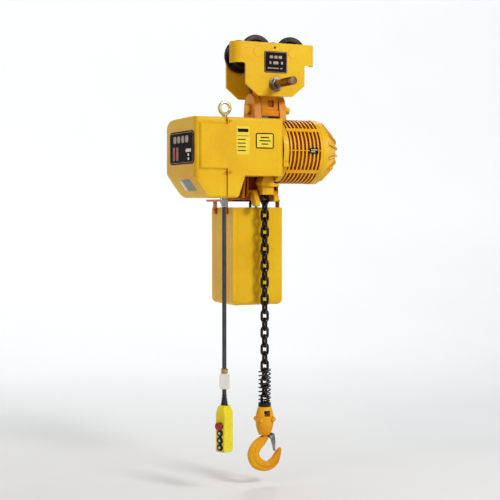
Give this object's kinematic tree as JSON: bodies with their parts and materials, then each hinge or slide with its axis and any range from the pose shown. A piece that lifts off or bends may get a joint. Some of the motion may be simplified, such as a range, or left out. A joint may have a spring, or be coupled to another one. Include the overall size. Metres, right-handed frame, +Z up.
{
  "type": "electric chain hoist with trolley",
  "caption": "Electric chain hoist on a push beam trolley, with a finned motor, gear train, chain bucket, latched swivel hook and a hanging push-button pendant.",
  "frame": {"origin": "on the load line, midway between the trolley's side plates, at the height of the beam flange's rolling surface", "axes": "+Z up, along the load line; +X along the beam, from the control end towards the motor; +Y to the back, away from the rating plate"},
  "size_m": [0.4759, 0.368, 1.2391],
  "materials": {
    "black_plate": "smooth black label plate",
    "yellow_steel": "yellow enamel on rolled steel",
    "yellow_castings": "yellow enamel on cast aluminium",
    "yellow_cover": "yellow enamel on a thin cast cover",
    "wheel_steel": "dark cast wheel",
    "bronze": "bearing bronze",
    "machined_steel": "machined steel",
    "zinc_steel": "zinc-plated steel",
    "shaft_chrome": "chromed steel",
    "stator_iron": "laminated iron",
    "plain_casting": "bare cast aluminium",
    "electrical_plastic": "grey moulded plastic",
    "chain_steel": "blackened alloy steel",
    "hook_paint": "orange-yellow enamel on forged steel",
    "pendant_yellow": "yellow moulded plastic",
    "button_red": "red moulded plastic",
    "button_black": "black moulded plastic",
    "cable_rubber": "black rubber sheath",
    "tag_plastic": "pale plastic tag with a metal clamp"
  },
  "bodies": {
    "trolley": {"trolley_front_plate": "yellow_steel", "trolley_rear_plate": "yellow_steel", "trolley_rating_plate": "black_plate", "wheel_bushes": "bronze", "wheel_axles": "machined_steel", "cross_shaft": "shaft_chrome", "cross_shaft_nuts": "machined_steel", "cross_shaft_washers": "machined_steel"},
    "front_left_wheel": {"wheel_front_left": "wheel_steel"},
    "front_right_wheel": {"wheel_front_right": "wheel_steel"},
    "rear_left_wheel": {"wheel_rear_left": "wheel_steel"},
    "rear_right_wheel": {"wheel_rear_right": "wheel_steel"},
    "hanger": {"hanger_block": "yellow_steel"},
    "hoist": {"suspension_bracket": "yellow_castings", "suspension_pin": "machined_steel", "suspension_pin_nut": "machined_steel", "centre_housing": "yellow_castings", "gear_housing": "yellow_castings", "motor_housing": "yellow_castings", "motor_end_cover": "yellow_castings", "control_cover": "yellow_cover", "end_nameplate": "black_plate", "hoist_screws": "machined_steel", "stator": "stator_iron", "bearing_shield": "plain_casting", "brake_coil": "stator_iron", "shaft_bearings": "machined_steel", "contactors": "electrical_plastic", "transformer": "stator_iron", "eye_bolt": "zinc_steel", "chain_guide": "yellow_castings", "lower_housing": "yellow_castings", "chain_bucket": "yellow_steel", "bucket_bracket": "yellow_steel", "cable_gland": "zinc_steel", "slack_chain": "chain_steel"},
    "rotor_group": {"rotor": "machined_steel", "brake_disc": "machined_steel"},
    "intermediate_group": {"intermediate_gear": "machined_steel"},
    "sheave_group": {"load_sheave": "machined_steel", "output_gear": "machined_steel"},
    "limit_lever_body": {"limit_lever": "machined_steel"},
    "hook_block": {"load_chain": "chain_steel", "buffer_spring": "chain_steel", "spring_seat": "machined_steel", "hook_block_front": "hook_paint", "hook_block_rear": "hook_paint", "hook_block_bolts": "machined_steel"},
    "hook_body": {"hook": "hook_paint", "hook_nut": "machined_steel", "latch_pin": "machined_steel"},
    "latch": {"hook_latch": "machined_steel"},
    "pendant": {"pendant_front": "pendant_yellow", "pendant_back": "pendant_yellow", "pendant_cable": "cable_rubber", "cable_tag": "tag_plastic"},
    "stop_button_body": {"stop_button": "button_red"},
    "up_button_body": {"button_up": "button_black"},
    "down_button_body": {"button_down": "button_black"},
    "travel_button_body": {"button_travel": "button_black"}
  },
  "joints": [
    {"name": "front_left_wheel_spin", "type": "hinge", "parent": "trolley", "child": "front_left_wheel", "pos_m": [-0.0535, 0, 0.037], "axis": [0, 1, 0], "continuous": true},
    {"name": "rear_left_wheel_spin", "type": "hinge", "parent": "trolley", "child": "rear_left_wheel", "pos_m": [-0.0535, 0, 0.037], "axis": [0, 1, 0], "continuous": true},
    {"name": "front_right_wheel_spin", "type": "hinge", "parent": "trolley", "child": "front_right_wheel", "pos_m": [0.0535, 0, 0.037], "axis": [0, 1, 0], "continuous": true},
    {"name": "rear_right_wheel_spin", "type": "hinge", "parent": "trolley", "child": "rear_right_wheel", "pos_m": [0.0535, 0, 0.037], "axis": [0, 1, 0], "continuous": true},
    {"name": "hanger_swing", "type": "hinge", "parent": "trolley", "child": "hanger", "pos_m": [0, 0, -0.052], "axis": [0, 1, 0], "range_deg": [-10, 10]},
    {"name": "hoist_swing", "type": "hinge", "parent": "hanger", "child": "hoist", "pos_m": [0, 0, -0.118], "axis": [1, 0, 0], "range_deg": [-8, 8]},
    {"name": "rotor_spin", "type": "hinge", "parent": "hoist", "child": "rotor_group", "pos_m": [0.1, 0, -0.2355], "axis": [1, 0, 0], "range_deg": [-3900, 3500]},
    {"name": "intermediate_spin", "type": "hinge", "parent": "hoist", "child": "intermediate_group", "pos_m": [0.04, 0.01258, -0.19911], "axis": [1, 0, 0], "range_deg": [-700, 700]},
    {"name": "sheave_spin", "type": "hinge", "parent": "hoist", "child": "sheave_group", "pos_m": [0, 0.03906, -0.2355], "axis": [1, 0, 0], "range_deg": [-150, 150]},
    {"name": "hook_lift", "type": "slide", "parent": "hoist", "child": "hook_block", "axis": [0, 0, 1], "range_m": [-0.092, 0.102], "deforming": ["load_chain", "slack_chain"]},
    {"name": "hook_swivel", "type": "hinge", "parent": "hook_block", "child": "hook_body", "pos_m": [0, 0, -1.03], "axis": [0, 0, 1], "continuous": true},
    {"name": "latch_hinge", "type": "hinge", "parent": "hook_body", "child": "latch", "pos_m": [0.015, 0, -1.054], "axis": [0, 1, 0], "range_deg": [0, 40], "stiffness_Nm_per_rad": 0.05, "springref_deg": -22.92},
    {"name": "limit_lever_hinge", "type": "hinge", "parent": "hoist", "child": "limit_lever_body", "pos_m": [0, 0.024, -0.35], "axis": [-1, 0, 0], "range_deg": [0, 8], "stiffness_Nm_per_rad": 0.4, "springref_deg": -17.19},
    {"name": "pendant_swing", "type": "hinge", "parent": "hoist", "child": "pendant", "pos_m": [-0.144, -0.04, -0.39], "axis": [1, 0, 0], "range_deg": [-12, 12]},
    {"name": "stop_press", "type": "slide", "parent": "pendant", "child": "stop_button_body", "axis": [0.8746, 0.4848, 0], "range_m": [0, 0.004], "stiffness_N_per_m": 800},
    {"name": "up_press", "type": "slide", "parent": "pendant", "child": "up_button_body", "axis": [0.8746, 0.4848, 0], "range_m": [0, 0.004], "stiffness_N_per_m": 800},
    {"name": "down_press", "type": "slide", "parent": "pendant", "child": "down_button_body", "axis": [0.8746, 0.4848, 0], "range_m": [0, 0.004], "stiffness_N_per_m": 800},
    {"name": "travel_press", "type": "slide", "parent": "pendant", "child": "travel_button_body", "axis": [0.8746, 0.4848, 0], "range_m": [0, 0.004], "stiffness_N_per_m": 800}
  ],
  "couplings": [
    {"joint": "intermediate_spin", "follows": "rotor_spin", "ratio": -0.16667},
    {"joint": "sheave_spin", "follows": "rotor_spin", "ratio": 0.037415},
    {"joint": "hook_lift", "follows": "rotor_spin", "m_per_rad": -0.0014614}
  ]
}
